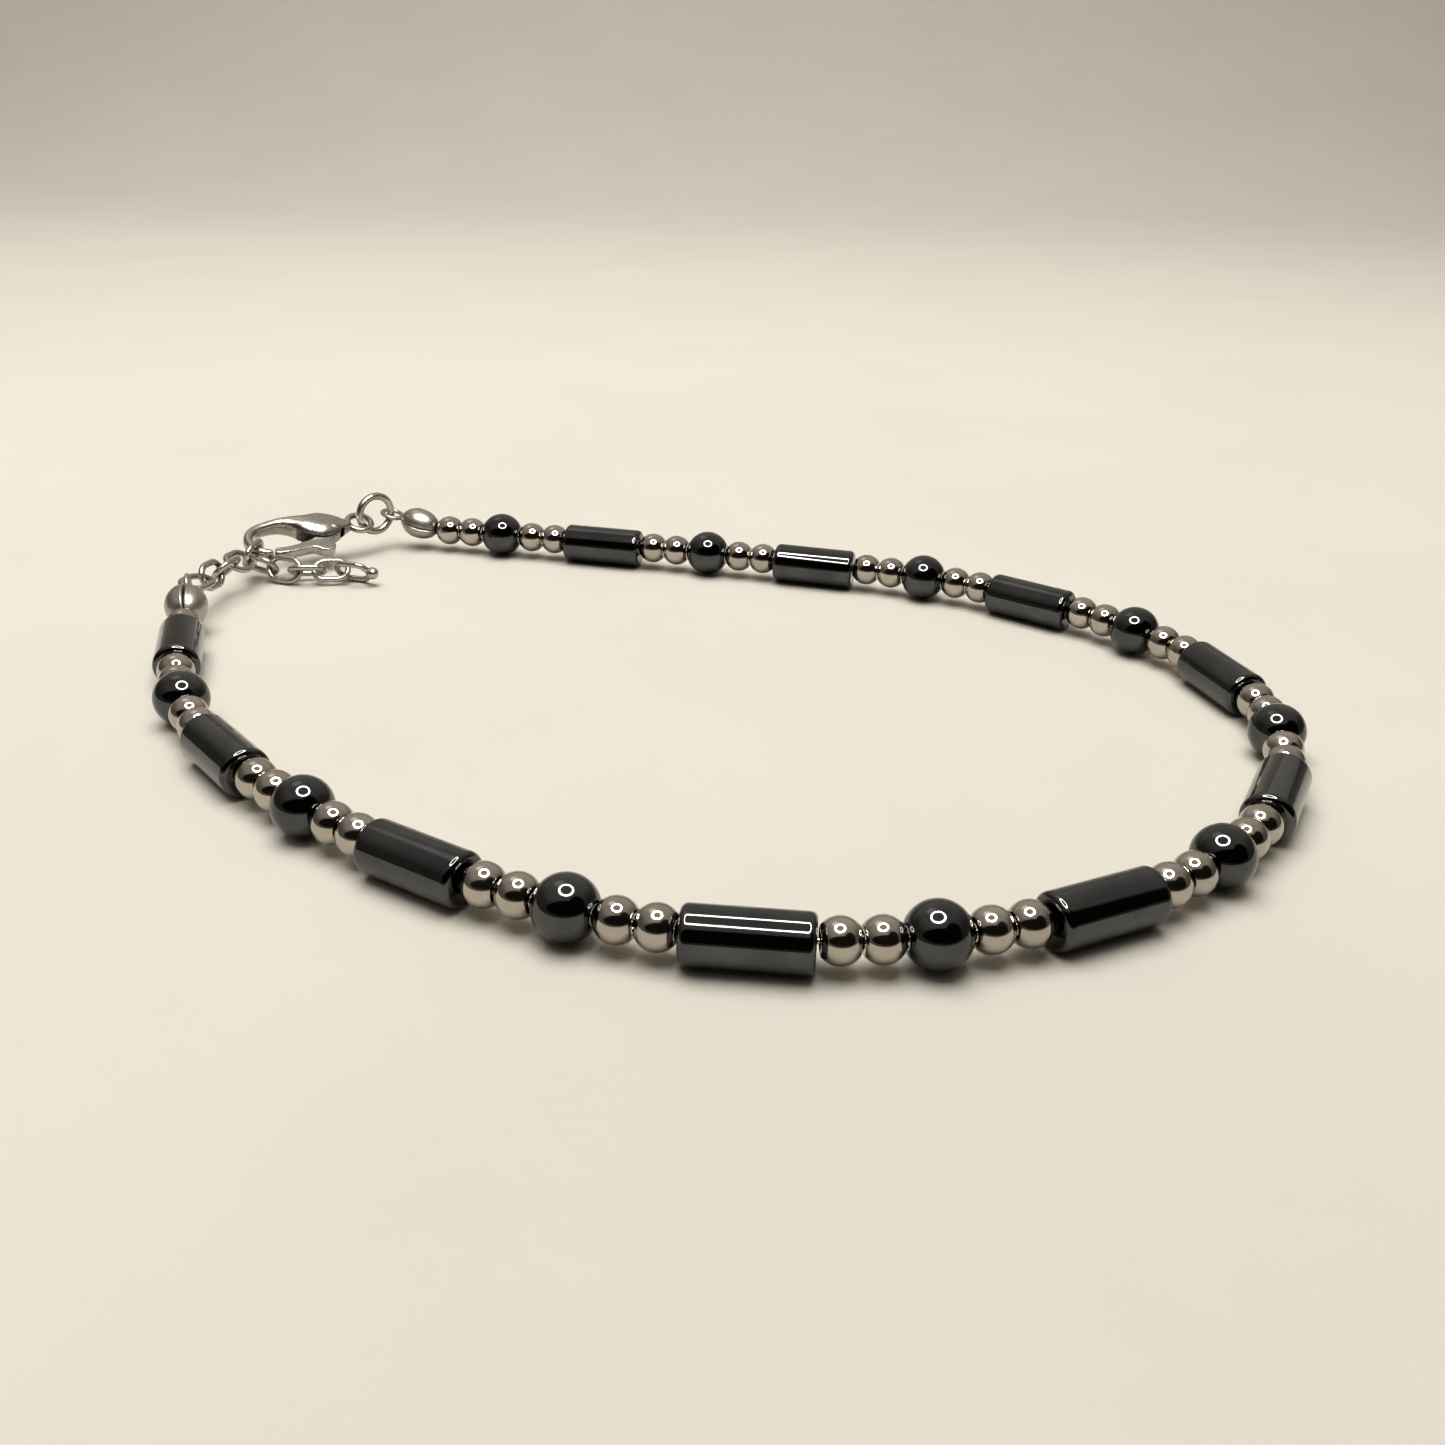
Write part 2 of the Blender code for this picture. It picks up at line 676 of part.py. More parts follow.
def add_clasp_lever(place):
    pivot = place @ Matrix.Translation(rivet_place())
    lever = add_object("clasp_lever", lever_mesh(), pivot, STEEL)
    bore = rivet_mesh(RIVET_DIAMETER / 2.0 + RIVET_GAP, 2.0 * LEVER_THICKNESS, "rivet bore")
    combine(lever, helper("rivet bore", bore, pivot), "DIFFERENCE")


def meeting_point(first, first_reach, second, second_reach):
    """The point at both reaches, on the left of the way from the first point to the second."""
    way = second - first
    span = way.length
    along = (span ** 2 + first_reach ** 2 - second_reach ** 2) / (2.0 * span)
    side = math.sqrt(max(first_reach ** 2 - along ** 2, 0.0))
    forward = way.normalized()
    return first + forward * along + Vector((-forward.y, forward.x)) * side


def ring_centre():
    """The middle of the jump ring before it is lifted, in the clasp's frame before it is turned."""
    reach = ring_reach(CLASP_EYE_DIAMETER, CLASP_EYE_WIRE)
    return clasp_lean() @ (clasp_eye_place() + Vector((reach, 0.0, 0.0)))


def clasp_end():
    """Where the clasp's jump ring meets the right calotte's loop, in the clasp's frame before it is turned."""
    reach = ring_reach(CLASP_EYE_DIAMETER, CLASP_EYE_WIRE) + ring_reach(CALOTTE_LOOP_DIAMETER, CALOTTE_LOOP_WIRE)
    return clasp_lean() @ (clasp_eye_place() + Vector((reach, 0.0, 0.0)))


def clasp_frame(chain_start, right_loop):
    """Lays the clasp so that chain, claw and jump ring just reach from one calotte's loop to the other's."""
    seat_to_end = clasp_end() - span_seat()
    drop = chain_start.z - (right_loop.z - seat_to_end.z)
    chain_reach = math.sqrt(max(span_length() ** 2 - drop ** 2, 0.0))
    seat_plan = meeting_point(chain_start.xy, chain_reach, right_loop.xy, seat_to_end.xy.length)
    way = right_loop.xy - seat_plan
    heading = math.atan2(way.y, way.x) - math.atan2(seat_to_end.y, seat_to_end.x)
    turn = Matrix.Rotation(heading, 4, "Z")
    level = Matrix.Translation(right_loop - turn @ clasp_end()) @ turn
    lift = Vector((0.0, 0.0, JUMP_RING_LIFT))
    return level, upright_frame(level @ ring_centre() + lift, heading, math.pi / 2.0)


def first_link_hold():
    """How far past the middle of the left calotte's loop the first link's end lies: a share of its free play."""
    play = (CALOTTE_LOOP_DIAMETER - CALOTTE_LOOP_WIRE - LINK_WIRE) / 2.0 - METAL_GAP
    return FIRST_LINK_PULL * play


def span_length():
    """From the first link's end in the left calotte's loop to the last span link's seat in the hooked link."""
    return LINK_LENGTH + (len(SPAN_LINK_ROLLS) - 1) * (LINK_LENGTH - LINK_WIRE - METAL_GAP)


def add_link(number, link, place):
    add_object(f"chain_link_{number:02d}", link, place, STEEL)


def add_chain(chain_start, level):
    """The links from the left calotte to the clasp, the hooked link, and the loose end."""
    link = ring_curve("chain link", LINK_LENGTH, LINK_WIDTH, LINK_WIRE)
    overlap = LINK_WIRE + METAL_GAP
    last = level @ span_seat()
    way = (last - chain_start).normalized()
    number = 0
    for roll in SPAN_LINK_ROLLS:
        number += 1
        end = last - way * (len(SPAN_LINK_ROLLS) - number) * (LINK_LENGTH - overlap)
        add_link(number, link, aimed_frame(end - way * LINK_LENGTH, end, math.radians(roll)))
    number += 1
    centre, along, width, normal = catch_frame()
    turn = Matrix((along, width, normal)).transposed().to_4x4()
    add_link(number, link, level @ Matrix.Translation(centre) @ turn)
    number += 1
    low_side = level @ (centre - width * LINK_WIDTH / 2.0 - along * TAIL_FIRST_SEAT)
    drop = low_side.z - TAIL_HEIGHT
    flat = math.sqrt(LINK_LENGTH ** 2 - drop ** 2) / LINK_LENGTH
    heading = TAIL_FIRST_HEADING
    way = Vector((flat * math.cos(heading), flat * math.sin(heading), -drop / LINK_LENGTH))
    start = low_side - way * overlap
    end = start + way * LINK_LENGTH
    facing = level.to_3x3() @ along * math.cos(TAIL_FIRST_LEAN) + Vector((0.0, 0.0, math.sin(TAIL_FIRST_LEAN)))
    facing = (facing - way * way.dot(facing)).normalized()
    turn = Matrix((way, facing.cross(way), facing)).transposed().to_4x4()
    add_link(number, link, Matrix.Translation((start + end) / 2.0) @ turn)
    last_number = number + len(TAIL_LINKS)
    for heading, roll, slack in TAIL_LINKS:
        number += 1
        start = end - way * (overlap + slack * MM)
        turned = math.radians(heading)
        drop = start.z - TAIL_HEIGHT
        reach = math.sqrt(LINK_LENGTH ** 2 - drop ** 2)
        end = Vector((start.x + reach * math.cos(turned), start.y + reach * math.sin(turned), TAIL_HEIGHT))
        way = (end - start).normalized()
        place = aimed_frame(start, end, math.radians(roll))
        if number < last_number:
            add_link(number, link, place)
    add_chain_end(place)


def add_chain_end(place):
    """The last link, with a small drop soldered on its far end."""
    last = add_object("chain_end", solid_ring("chain end", LINK_LENGTH, LINK_WIDTH, LINK_WIRE), place, STEEL)
    shape = bmesh.new()
    bmesh.ops.create_icosphere(shape, subdivisions=2, radius=TAIL_DROP_DIAMETER / 2.0)
    drop_centre = Vector((LINK_LENGTH / 2.0 + TAIL_DROP_DIAMETER / 3.0, 0.0, 0.0))
    drop = helper("chain end drop", mesh_from(shape, "chain end drop"), place @ Matrix.Translation(drop_centre))
    combine(last, drop, "UNION")


def centre_on_surface():
    """Moves everything so that the origin lies on the surface below the middle of the anklet's box."""
    bpy.context.view_layer.update()
    graph = bpy.context.evaluated_depsgraph_get()
    corners = []
    for thing in bpy.context.scene.objects:
        if thing.hide_render:
            continue
        shown = thing.evaluated_get(graph)
        mesh = shown.to_mesh()
        corners += [shown.matrix_world @ v.co for v in mesh.vertices]
        shown.to_mesh_clear()
    low = [min(c[i] for c in corners) for i in range(3)]
    high = [max(c[i] for c in corners) for i in range(3)]
    shift = Matrix.Translation((-(low[0] + high[0]) / 2.0, -(low[1] + high[1]) / 2.0, -low[2]))
    for thing in bpy.context.scene.objects:
        thing.matrix_world = shift @ thing.matrix_world


def main():
    clear_scene()
    beads, length = strung_beads()
    course = closing_course(length)
    add_beads(course, beads)
    add_string(course, beads)
    start, start_out, end, end_out = string_ends(course)
    add_calotte("calotte_left", start, start_out, math.pi / 2.0)
    add_calotte("calotte_right", end, end_out, 0.0)
    left_loop, right_loop = calotte_loops(course)
    chain_start = left_loop + start_out * first_link_hold()
    level, ring_place = clasp_frame(chain_start, right_loop)
    clasp_place = level @ clasp_lean()
    add_clasp_body(clasp_place)
    add_clasp_lever(clasp_place)
    ring = ring_curve("jump ring", JUMP_RING_DIAMETER, JUMP_RING_DIAMETER, JUMP_RING_WIRE)
    add_object("jump_ring", ring, ring_place, STEEL)
    add_chain(chain_start, level)
    centre_on_surface()


main()
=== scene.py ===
import json
import math

import bmesh
import bpy
import numpy as np
from mathutils import Matrix, Vector


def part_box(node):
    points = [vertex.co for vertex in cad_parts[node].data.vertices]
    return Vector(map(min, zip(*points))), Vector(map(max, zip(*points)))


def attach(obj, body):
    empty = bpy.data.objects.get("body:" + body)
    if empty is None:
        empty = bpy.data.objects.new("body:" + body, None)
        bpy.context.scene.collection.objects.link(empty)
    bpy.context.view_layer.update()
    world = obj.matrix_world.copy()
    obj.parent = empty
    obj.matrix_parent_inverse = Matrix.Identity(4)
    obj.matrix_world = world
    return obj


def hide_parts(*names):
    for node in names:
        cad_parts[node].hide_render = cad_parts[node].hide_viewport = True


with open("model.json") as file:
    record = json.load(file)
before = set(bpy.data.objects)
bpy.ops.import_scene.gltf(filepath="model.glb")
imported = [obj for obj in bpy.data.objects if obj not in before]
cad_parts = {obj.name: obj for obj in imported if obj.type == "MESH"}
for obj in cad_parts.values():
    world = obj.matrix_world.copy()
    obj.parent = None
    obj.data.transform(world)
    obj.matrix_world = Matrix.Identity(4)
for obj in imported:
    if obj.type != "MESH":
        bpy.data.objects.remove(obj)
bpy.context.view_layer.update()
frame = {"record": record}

MM = 0.001
scene = bpy.context.scene

# Sizes shared with the CAD part
ROUND_DIAMETER, ROUND_LENGTH = 4.0 * MM, 3.56 * MM
TUBE_DIAMETER, TUBE_LENGTH, TUBE_EDGE = 3.5 * MM, 7.28 * MM, 0.42 * MM
BEAD_HOLE = 1.1 * MM
SPACER_DIAMETER, SPACER_LENGTH, SPACER_HOLE = 2.7 * MM, 2.12 * MM, 0.9 * MM
BEAD_GAP = 0.16 * MM
WIRE = 0.4 * MM
UNIT = ("tube", "spacer", "spacer", "round", "spacer", "spacer")
UNIT_COUNT = 10
CAD_FACET = math.cos(math.pi / 12.0)
STRING_HEIGHT = ROUND_DIAMETER / 2.0 * CAD_FACET
CALOTTE_LENGTH, CALOTTE_DIAMETER, CALOTTE_WALL, CALOTTE_HOLE = 4.0 * MM, 3.6 * MM, 0.35 * MM, 0.9 * MM
CALOTTE_LOOP, CALOTTE_LOOP_WIRE, CALOTTE_LOOP_SEAT = 1.9 * MM, 0.4 * MM, 0.4 * MM
CALOTTE_RISE = math.radians(14.0)
CRIMP_DIAMETER, CRIMP_LENGTH = 1.4 * MM, 1.2 * MM
LINK_LENGTH, LINK_WIDTH, LINK_WIRE = 3.0 * MM, 2.0 * MM, 0.53 * MM
JUMP_RING, JUMP_WIRE = 3.4 * MM, 0.7 * MM
CLASP_LENGTH, CLASP_WIDTH, CLASP_THICKNESS = 13.0 * MM, 4.8 * MM, 2.5 * MM
CLASP_EYE, CLASP_EYE_WIRE = 2.2 * MM, 0.6 * MM
CLASP_TILT, CLASP_RISE = math.radians(24.0), math.radians(1.5)
LEVER_THICKNESS, LEVER_SIDE_GAP, LEVER_EYE = 0.95 * MM, 0.14 * MM, 1.4 * MM
RIVET_DIAMETER, RIVET_GAP = 0.44 * MM, 0.1 * MM
SLOT_FRONT, SLOT_BACK_EDGE, SLOT_END_GAP = 0.40, 0.10, 0.25 * MM
DROP_DIAMETER = 1.1 * MM

# The claw's sections, as shares of the clasp's length, width, width and thickness
CLAW_SECTIONS = (
    (0.816, 0.00, 0.22, 0.25),
    (0.768, 0.01, 0.34, 0.52),
    (0.688, 0.04, 0.60, 0.84),
    (0.592, 0.08, 0.76, 1.00),
    (0.504, 0.18, 0.62, 1.00),
    (0.424, 0.33, 0.38, 0.84),
    (0.328, 0.43, 0.24, 0.68),
    (0.224, 0.44, 0.20, 0.58),
    (0.114, 0.38, 0.19, 0.52),
    (0.054, 0.20, 0.18, 0.48),
    (0.050, -0.03, 0.18, 0.48),
    (0.086, -0.19, 0.17, 0.46),
    (0.138, -0.27, 0.14, 0.40),
)
# The lever's edges and the rivet's place, as shares of the clasp's length and width
LEVER_OUTER = (
    (0.157, -0.36), (0.290, -0.42), (0.440, -0.43), (0.490, -0.60), (0.560, -0.62), (0.590, -0.52),
    (0.584, -0.36),
)
LEVER_INNER = ((0.570, -0.07), (0.470, -0.20), (0.320, -0.26), (0.169, -0.21))
RIVET_PLACE = (0.656, -0.10)

# The string's course in mm, from the left calotte's hole to the right calotte's
STRING_COURSE = (
    (-43.5, 9.0), (-38.5, -6.0), (-28.5, -19.0), (-16.0, -28.5), (-1.0, -34.5), (14.5, -33.5),
    (28.0, -26.5), (37.0, -14.0), (38.5, 1.0), (31.0, 14.5), (18.0, 23.5), (3.0, 28.0),
    (-12.5, 31.5), (-28.0, 34.5),
)

# Details of the visual pieces alone
BEAD_SIDES, SPACER_SIDES, STRING_SAMPLES = 64, 44, 260
TUBE_RIM, BALL_RIM = 0.08 * MM, 0.09 * MM
LEVER_EDGE, CLAW_EDGE = 0.14 * MM, 0.06 * MM
CLAW_SQUARENESS = 0.9
RIVET_HEAD, RIVET_HEAD_SEAT, RIVET_HEAD_TOP, RIVET_DOME = 0.36 * MM, 0.80 * MM, 1.02 * MM, 0.09 * MM
# Radius at a spun surface's pole, just over zero
POLE = 1e-7

# The view: angles, place and focal length as a share of the sensor's width
CAMERA_PITCH, CAMERA_ROLL = math.radians(25.0), math.radians(1.35)
CAMERA_PLACE = (2.57 * MM, -97.01 * MM, 43.42 * MM)
SENSOR_WIDTH, FOCAL_SHARE = 36.0, 1413.0 / 1445.0

# The floor and the lamps, in metres
FLOOR_TONES = (0.655, 0.629, 0.560), (0.680, 0.654, 0.585)
FLOOR_FRONT, FLOOR_BACK, FLOOR_HALF_WIDTH, FLOOR_BEND = -1.2, 0.35, 1.5, 0.3
RING_LAMP, RING_LAMP_WIRE, RING_LAMP_STRENGTH = 0.102, 0.0068, 34.0
RING_LAMP_PLACE = (0.0, -0.033, 0.150)

# The studio's tones, laid over each other: direction, inner and outer angle in degrees, squeeze across, tone
SKY_BASE = (0.13, 0.118, 0.10)
SKY_PATCHES = (
    # Overhead
    ((0.0, 0.1, 1.0), 35.0, 72.0, 1.0, (0.40, 0.37, 0.33)),
    # Behind
    ((0.0, 1.0, 0.45), 15.0, 65.0, 1.0, (0.55, 0.51, 0.45)),
    # A bright patch high behind
    ((-0.3, 0.45, 0.85), 5.0, 15.0, 1.0, (1.15, 1.10, 1.02)),
    # A dark patch to the right of the viewer
    ((0.65, -0.55, 0.55), 22.0, 30.0, 1.0, (0.015, 0.014, 0.013)),
    # A dark band on the viewer's side
    ((0.1, -0.9, 0.52), 22.0, 27.0, 0.22, (0.010, 0.009, 0.008)),
)
BACKGROUND_TONE = (0.62, 0.59, 0.52)


def smooth_curve(points, samples):
    """Samples a natural cubic spline through points of any dimension."""
    points = np.asarray(points, dtype=float)
    steps = np.linalg.norm(np.diff(points, axis=0), axis=1)
    knots = np.concatenate(([0.0], np.cumsum(steps)))
    count = len(points)
    system = np.eye(count)
    bends = np.zeros_like(points)
    for i in range(1, count - 1):
        system[i, i - 1:i + 2] = steps[i - 1], 2.0 * (steps[i - 1] + steps[i]), steps[i]
        ahead = (points[i + 1] - points[i]) / steps[i]
        behind = (points[i] - points[i - 1]) / steps[i - 1]
        bends[i] = 6.0 * (ahead - behind)
    second = np.linalg.solve(system, bends)
    places = np.linspace(0.0, knots[-1], samples)
    k = np.clip(np.searchsorted(knots, places, side="right") - 1, 0, count - 2)
    step = steps[k][:, None]
    b = (places - knots[k])[:, None] / step
    a = 1.0 - b
    bent = (a ** 3 - a) * second[k] + (b ** 3 - b) * second[k + 1]
    return a * points[k] + b * points[k + 1] + bent * step ** 2 / 6.0


class Course:
    """The string's course on the surface, read by the length along it."""

    def __init__(self, factor):
        chosen = np.array(STRING_COURSE) * MM
        middle = (chosen[0] + chosen[-1]) / 2.0
        points = middle + factor * (chosen - middle)
        share = np.linspace(0.0, 1.0, len(points))[:, None]
        points = points + (1.0 - share) * (chosen[0] - points[0]) + share * (chosen[-1] - points[-1])
        self.places = smooth_curve(points, 1200)
        steps = np.linalg.norm(np.diff(self.places, axis=0), axis=1)
        self.lengths = np.concatenate(([0.0], np.cumsum(steps)))
        self.length = self.lengths[-1]
        self.shift = Vector((0.0, 0.0, 0.0))

    def at(self, length, height):
        x = np.interp(length, self.lengths, self.places[:, 0])
        y = np.interp(length, self.lengths, self.places[:, 1])
        return Vector((x, y, height)) + self.shift


def strung_beads():
    """Each bead's kind with its start and end along the string, and the string's whole length."""
    lengths = {"tube": TUBE_LENGTH, "round": ROUND_LENGTH, "spacer": SPACER_LENGTH}
    beads = []
    start = BEAD_GAP
    for kind in ("spacer",) + UNIT * UNIT_COUNT:
        beads.append((kind, start, start + lengths[kind]))
        start += lengths[kind] + BEAD_GAP
    return beads, start


def fitted_course(beads, length):
    """Scales the course to the beads' length and lays it where the CAD's beads are."""
    low, high = 0.4, 2.5
    for _ in range(40):
        factor = (low + high) / 2.0
        low, high = (factor, high) if Course(factor).length < length else (low, factor)
    course = Course(high)
    tubes = [(a + b) / 2.0 for kind, a, b in beads if kind == "tube"]
    chosen = 4
    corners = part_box(f"tube_bead_{chosen:02d}")
    centre = (Vector(corners[0]) + Vector(corners[1])) / 2.0
    shift = centre - course.at(tubes[chosen - 1], 0.0)
    course.shift = Vector((shift.x, shift.y, 0.0))
    return course


def aimed(start, end):
    """Frame halfway between two points, with local +X from one to the other."""
    along = (end - start).normalized()
    side = Vector((0.0, 0.0, 1.0)).cross(along).normalized()
    turn = Matrix((along, side, along.cross(side))).transposed().to_4x4()
    return Matrix.Translation((start + end) / 2.0) @ turn


class Shape:
    """Collects surfaces into one mesh object."""

    def __init__(self, name):
        self.name = name
        self.verts = []
        self.faces = []

    def grid(self, rings, close_around, close_along=False, caps=False):
        """Joins rings of points into a skin."""
        base = len(self.verts)
        count = len(rings[0])
        for ring in rings:
            self.verts += [tuple(p) for p in ring]
        rows = len(rings) if close_along else len(rings) - 1
        columns = count if close_around else count - 1
        for r in range(rows):
            for c in range(columns):
                a = base + r * count + c
                b = base + r * count + (c + 1) % count
                d = base + ((r + 1) % len(rings)) * count + c
                e = base + ((r + 1) % len(rings)) * count + (c + 1) % count
                self.faces.append((a, b, e, d))
        if caps:
            self.faces.append(tuple(base + c for c in range(count))[::-1])
            self.faces.append(tuple(base + (len(rings) - 1) * count + c for c in range(count)))

    def lathe(self, outline, sides, place, reach=None, close_along=True):
        """Spins an outline of (along, radius) round the place's local X."""
        rings = []
        for x, r in outline:
            ring = []
            for i in range(sides):
                turn = 2.0 * math.pi * i / sides
                radius = r * (reach(turn, x) if reach else 1.0)
                ring.append(place @ Vector((x, radius * math.cos(turn), radius * math.sin(turn))))
            rings.append(ring)
        self.grid(rings, True, close_along)

    def wire(self, points, radii, sides, place=Matrix.Identity(4), closed=False):
        """Sweeps a round section along points."""
        points = [Vector(p) for p in points]
        up = Vector((0.0, 0.0, 1.0))
        rings = []
        count = len(points)
        for i, p in enumerate(points):
            after = points[(i + 1) % count] if closed or i < count - 1 else p
            before = points[i - 1] if closed or i else p
            along = (after - before).normalized()
            side = up.cross(along).normalized()
            lift = along.cross(side)
            ring = []
            for k in range(sides):
                turn = 2.0 * math.pi * k / sides
                ring.append(place @ (p + (side * math.cos(turn) + lift * math.sin(turn)) * radii[i]))
            rings.append(ring)
        self.grid(rings, True, closed, caps=not closed)

    def plain(self):
        """The surfaces as an object with outward normals, without material or body."""
        mesh = bpy.data.meshes.new(self.name)
        mesh.from_pydata(self.verts, [], self.faces)
        work = bmesh.new()
        work.from_mesh(mesh)
        bmesh.ops.recalc_face_normals(work, faces=work.faces)
        work.to_mesh(mesh)
        work.free()
        thing = bpy.data.objects.new(self.name, mesh)
        scene.collection.objects.link(thing)
        return thing

    def build(self, body, material, nodes, sharp=60.0):
        return finished(self.plain(), body, material, nodes, sharp)


def finished(thing, body, material, nodes, sharp=60.0):
    """Gives a piece its shading, material, body and the CAD nodes that it stands for."""
    thing.data.shade_smooth()
    thing.data.set_sharp_from_angle(angle=math.radians(sharp))
    thing.data.materials.clear()
    thing.data.materials.append(material)
    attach(thing, body)
    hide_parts(*nodes)
    return thing


# Materials

def noise(tree, coordinates, scale, detail, roughness=0.55):
    node = tree.nodes.new("ShaderNodeTexNoise")
    node.inputs["Scale"].default_value = scale
    node.inputs["Detail"].default_value = detail
    node.inputs["Roughness"].default_value = roughness
    tree.links.new(coordinates, node.inputs["Vector"])
    return node.outputs["Fac"]


def spread(tree, value, low, high, start=0.3, end=0.7):
    """Maps a value that runs from start to end onto low to high."""
    node = tree.nodes.new("ShaderNodeMapRange")
    node.inputs["From Min"].default_value = start
    node.inputs["From Max"].default_value = end
    node.inputs["To Min"].default_value = low
    node.inputs["To Max"].default_value = high
    tree.links.new(value, node.inputs["Value"])
    return node.outputs["Result"]


def mixed(tree, factor, first, second):
    """Blends two plain colours."""
    node = tree.nodes.new("ShaderNodeMix")
    node.data_type = "RGBA"
    node.inputs["A"].default_value = (*first, 1.0)
    node.inputs["B"].default_value = (*second, 1.0)
    tree.links.new(factor, node.inputs["Factor"])
    return node.outputs["Result"]


def metal(name, colours, roughness, waves, grain, scratches):
    """Polished metal or stone: patchy colour and sheen, painted shade that darkens the base colour in
    crevices and where parts meet, slow waves, grain and hairlines.
    """
    material = bpy.data.materials.new(name)
    material.use_nodes = True
    tree = material.node_tree
    shader = tree.nodes["Principled BSDF"]
    shader.inputs["Metallic"].default_value = 1.0
    place = tree.nodes.new("ShaderNodeTexCoord").outputs["Object"]
    chance = tree.nodes.new("ShaderNodeObjectInfo").outputs["Random"]
    offset = tree.nodes.new("ShaderNodeVectorMath")
    offset.operation = "ADD"
    tree.links.new(place, offset.inputs[0])
    tree.links.new(chance, offset.inputs[1])
    place = offset.outputs["Vector"]
    patches = noise(tree, place, 420.0, 4.0)
    # Painted shade: ambient occlusion blends the base colour towards near-black in crevices and where parts
    # meet
    occlusion = tree.nodes.new("ShaderNodeAmbientOcclusion")
    occlusion.samples = 4
    occlusion.inputs["Distance"].default_value = 0.45 * MM
    shade = tree.nodes.new("ShaderNodeMix")
    shade.data_type = "RGBA"
    shade.inputs["A"].default_value = (0.02, 0.018, 0.015, 1.0)
    tree.links.new(spread(tree, occlusion.outputs["AO"], 0.12, 1.0, 0.15, 0.62), shade.inputs["Factor"])
    tree.links.new(mixed(tree, spread(tree, patches, 0.0, 1.0), *colours), shade.inputs["B"])
    tree.links.new(shade.outputs["Result"], shader.inputs["Base Color"])
    stretch = tree.nodes.new("ShaderNodeVectorMath")
    stretch.operation = "MULTIPLY"
    stretch.inputs[1].default_value = (0.25, 4.0, 1.5)
    tree.links.new(place, stretch.inputs[0])
    hairs = noise(tree, stretch.outputs["Vector"], 2600.0, 2.0, 0.7)
    smudges = noise(tree, place, 900.0, 5.0, 0.65)
    rough = tree.nodes.new("ShaderNodeMath")
    rough.operation = "ADD"
    tree.links.new(spread(tree, smudges, roughness[0], roughness[1]), rough.inputs[0])
    tree.links.new(spread(tree, hairs, 0.0, scratches, 0.62, 0.8), rough.inputs[1])
    tree.links.new(rough.outputs["Value"], shader.inputs["Roughness"])
    slow = tree.nodes.new("ShaderNodeBump")
    slow.inputs["Strength"].default_value = 1.0
    slow.inputs["Distance"].default_value = waves
    tree.links.new(noise(tree, place, 380.0, 1.0), slow.inputs["Height"])
    fine = tree.nodes.new("ShaderNodeBump")
    fine.inputs["Strength"].default_value = 1.0
    fine.inputs["Distance"].default_value = grain
    tree.links.new(hairs, fine.inputs["Height"])
    tree.links.new(slow.outputs["Normal"], fine.inputs["Normal"])
    tree.links.new(fine.outputs["Normal"], shader.inputs["Normal"])
    return material


# Name, two colours, roughness range, height of the waves and of the grain in metres, roughness of scratches
STONE = metal(
    "dark_stone", ((0.062, 0.066, 0.070), (0.096, 0.098, 0.098)), (0.03, 0.075), 4.0e-6, 1.2e-7, 0.05)
SILVER = metal(
    "silver_plate", ((0.39, 0.355, 0.31), (0.50, 0.46, 0.41)), (0.05, 0.12), 4.0e-6, 2.0e-7, 0.08)
STEEL = metal(
    "steel", ((0.38, 0.36, 0.325), (0.48, 0.455, 0.415)), (0.24, 0.29), 1.5e-6, 1.0e-7, 0.03)
SATIN = metal(
    "satin_steel", ((0.33, 0.315, 0.275), (0.43, 0.41, 0.36)), (0.30, 0.38), 2.0e-6, 2.0e-7, 0.05)


# Beads and string

def arc(centre_x, centre_r, radius, start, end, steps):
    """Points of (along, radius) on a rounded corner."""
    points = []
    for i in range(steps + 1):
        turn = math.radians(start + (end - start) * i / steps)
        points.append((centre_x + radius * math.cos(turn), centre_r + radius * math.sin(turn)))
    return points


def tube_outline(radius):
    """A drilled tube with rounded edges, closed through its bore."""
    half, hole, rim = TUBE_LENGTH / 2.0, BEAD_HOLE / 2.0, TUBE_RIM
    left = arc(-half + TUBE_EDGE, radius - TUBE_EDGE, TUBE_EDGE, 180.0, 90.0, 8)
    right = arc(half - TUBE_EDGE, radius - TUBE_EDGE, TUBE_EDGE, 90.0, 0.0, 8)
    side = [(x * MM, radius) for x in (-3.15, -2.6, -1.3, 0.0, 1.3, 2.6, 3.15)]
    bore_right = arc(half - rim, hole + rim, rim, 0.0, -90.0, 4)
    bore_left = arc(-half + rim, hole + rim, rim, -90.0, -180.0, 4)
    face_right = [(half, radius - TUBE_EDGE - 0.05 * MM), (half, hole + rim + 0.05 * MM)]
    face_left = [(-half, hole + rim + 0.05 * MM), (-half, radius - TUBE_EDGE - 0.05 * MM)]
    return left + side + right + face_right + bore_right + [(0.0, hole)] + bore_left + face_left


def ball_outline(radius, length, hole, steps):
    """A drilled ball cut flat at its ends, with rounded rims."""
    half, rim = length / 2.0, BALL_RIM
    # The rim's rounding touches the ball from inside and the flat end
    seat = math.asin((half - rim) / (radius - rim))
    edge = (radius - rim) * math.cos(seat)
    points = []
    for i in range(steps + 1):
        turn = -seat + 2.0 * seat * i / steps
        points.append((radius * math.sin(turn), radius * math.cos(turn)))
    first = 90.0 - math.degrees(seat)
    right = arc(half - rim, edge, rim, first, 0.0, 4)[1:]
    face = [(half, edge - 0.25 * (edge - hole)), (half, hole + 0.06 * MM), (half - 0.06 * MM, hole)]
    points += right + face
    return points + [(0.0, hole)] + [(-x, r) for x, r in (right + face)[::-1]]


